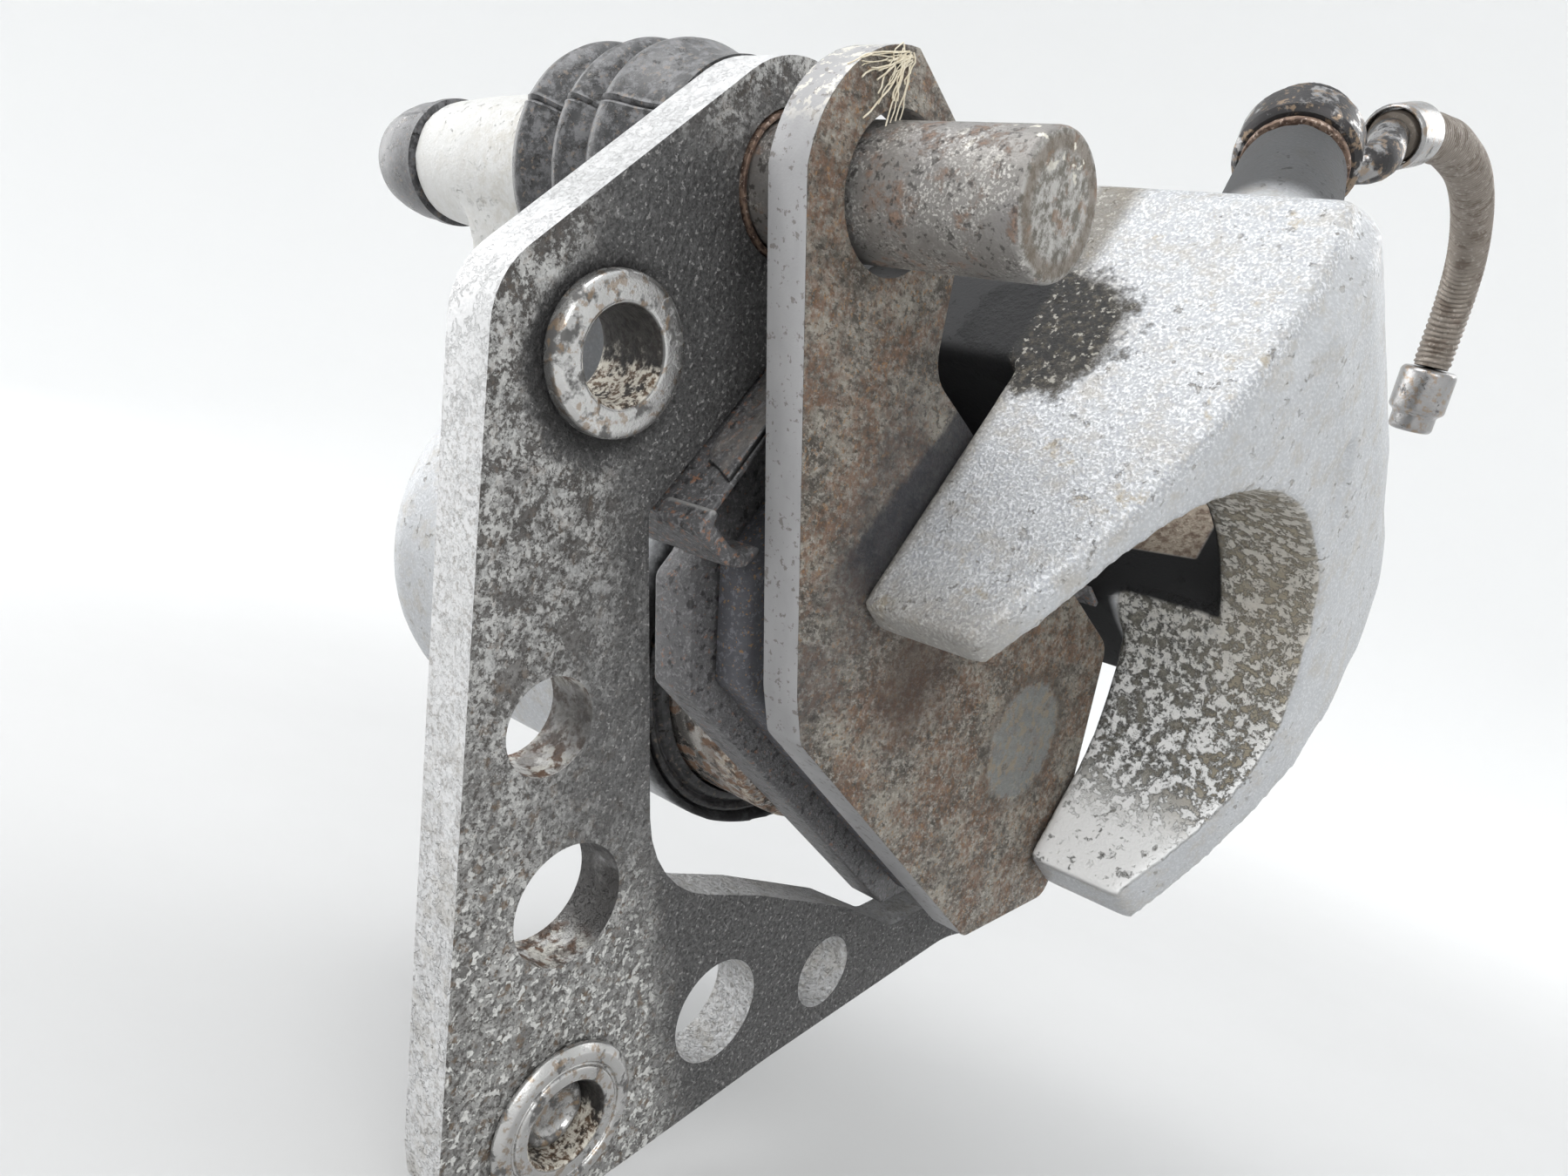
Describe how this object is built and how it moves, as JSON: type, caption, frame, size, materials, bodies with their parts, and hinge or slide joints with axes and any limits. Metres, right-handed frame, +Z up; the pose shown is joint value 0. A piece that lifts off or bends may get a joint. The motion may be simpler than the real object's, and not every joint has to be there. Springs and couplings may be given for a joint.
{
  "type": "sliding disc brake caliper",
  "caption": "Sliding single-piston disc brake caliper on its steel bracket, with pads, slide shaft, rubber boots, banjo union and a short brake hose.",
  "frame": {"origin": "slide shaft's axis in the plane of the bracket's outboard face", "axes": "+X along the slide shaft, outboard; +Z up as fitted"},
  "size_m": [0.1301, 0.223, 0.1865],
  "materials": {
    "bracket_steel": "zinc-plated plate, mottled with brake dust",
    "dark_steel": "dark grey steel with rust tints",
    "copper_rust": "copper-brown",
    "bright_steel": "worn bright plating",
    "black_steel": "matt black, dusty",
    "lining": "friction lining, dusty",
    "rusty_steel": "brown and grey rust film",
    "cast_silver": "silver paint over sand-cast aluminium, corroded in places",
    "rubber": "aged black rubber",
    "brass_dull": "dull yellow plating",
    "spring_guard": "grey-brown ribbed spring guard",
    "piston_steel": "plated steel with a brown film"
  },
  "bodies": {
    "bracket": {"caliper_bracket": "bracket_steel", "slide_shaft": "dark_steel", "shaft_collar": "copper_rust", "upper_mount_collar": "bright_steel", "lower_mount_collar": "bright_steel", "mount_bolt": "dark_steel", "guide_pin": "dark_steel", "upper_pad_clip": "black_steel", "lower_pad_clip": "black_steel"},
    "caliper": {"caliper_body": "cast_silver", "shaft_boot": "rubber", "arm_cap": "rubber", "guide_pin_boot": "rubber", "piston_seal": "rubber", "piston_dust_boot": "rubber", "lower_seal_washer": "copper_rust", "upper_seal_washer": "copper_rust", "banjo_bolt": "bright_steel", "banjo_fitting": "bright_steel", "hose_ferrule": "bright_steel", "brake_hose": "spring_guard", "hose_end_fitting": "bright_steel", "pad_spring": "black_steel"},
    "inner_pad": {"inner_pad_plate": "black_steel", "inner_pad_lining": "lining"},
    "outer_pad": {"outer_pad_plate": "rusty_steel", "outer_pad_lining": "lining"},
    "piston": {"piston": "piston_steel"},
    "bleeder": {"bleed_screw": "brass_dull", "bleed_cap": "rubber"}
  },
  "joints": [
    {"name": "caliper_slide", "type": "slide", "parent": "bracket", "child": "caliper", "axis": [1, 0, 0], "range_m": [0, 0.003], "deforming": ["shaft_boot", "guide_pin_boot"]},
    {"name": "outer_pad_slide", "type": "slide", "parent": "bracket", "child": "outer_pad", "axis": [1, 0, 0], "range_m": [0, 0.003]},
    {"name": "inner_pad_slide", "type": "slide", "parent": "bracket", "child": "inner_pad", "axis": [1, 0, 0], "range_m": [-0.003, 0]},
    {"name": "piston_slide", "type": "slide", "parent": "caliper", "child": "piston", "axis": [1, 0, 0], "range_m": [-0.006, 0]},
    {"name": "bleed_turn", "type": "hinge", "parent": "caliper", "child": "bleeder", "pos_m": [-0.054, 0.05908, -0.05814], "axis": [0, 0.4384, 0.8988], "range_deg": [0, 90]}
  ],
  "couplings": [
    {"joint": "outer_pad_slide", "follows": "caliper_slide", "ratio": 1},
    {"joint": "inner_pad_slide", "follows": "caliper_slide", "ratio": -1},
    {"joint": "piston_slide", "follows": "caliper_slide", "ratio": -2}
  ]
}
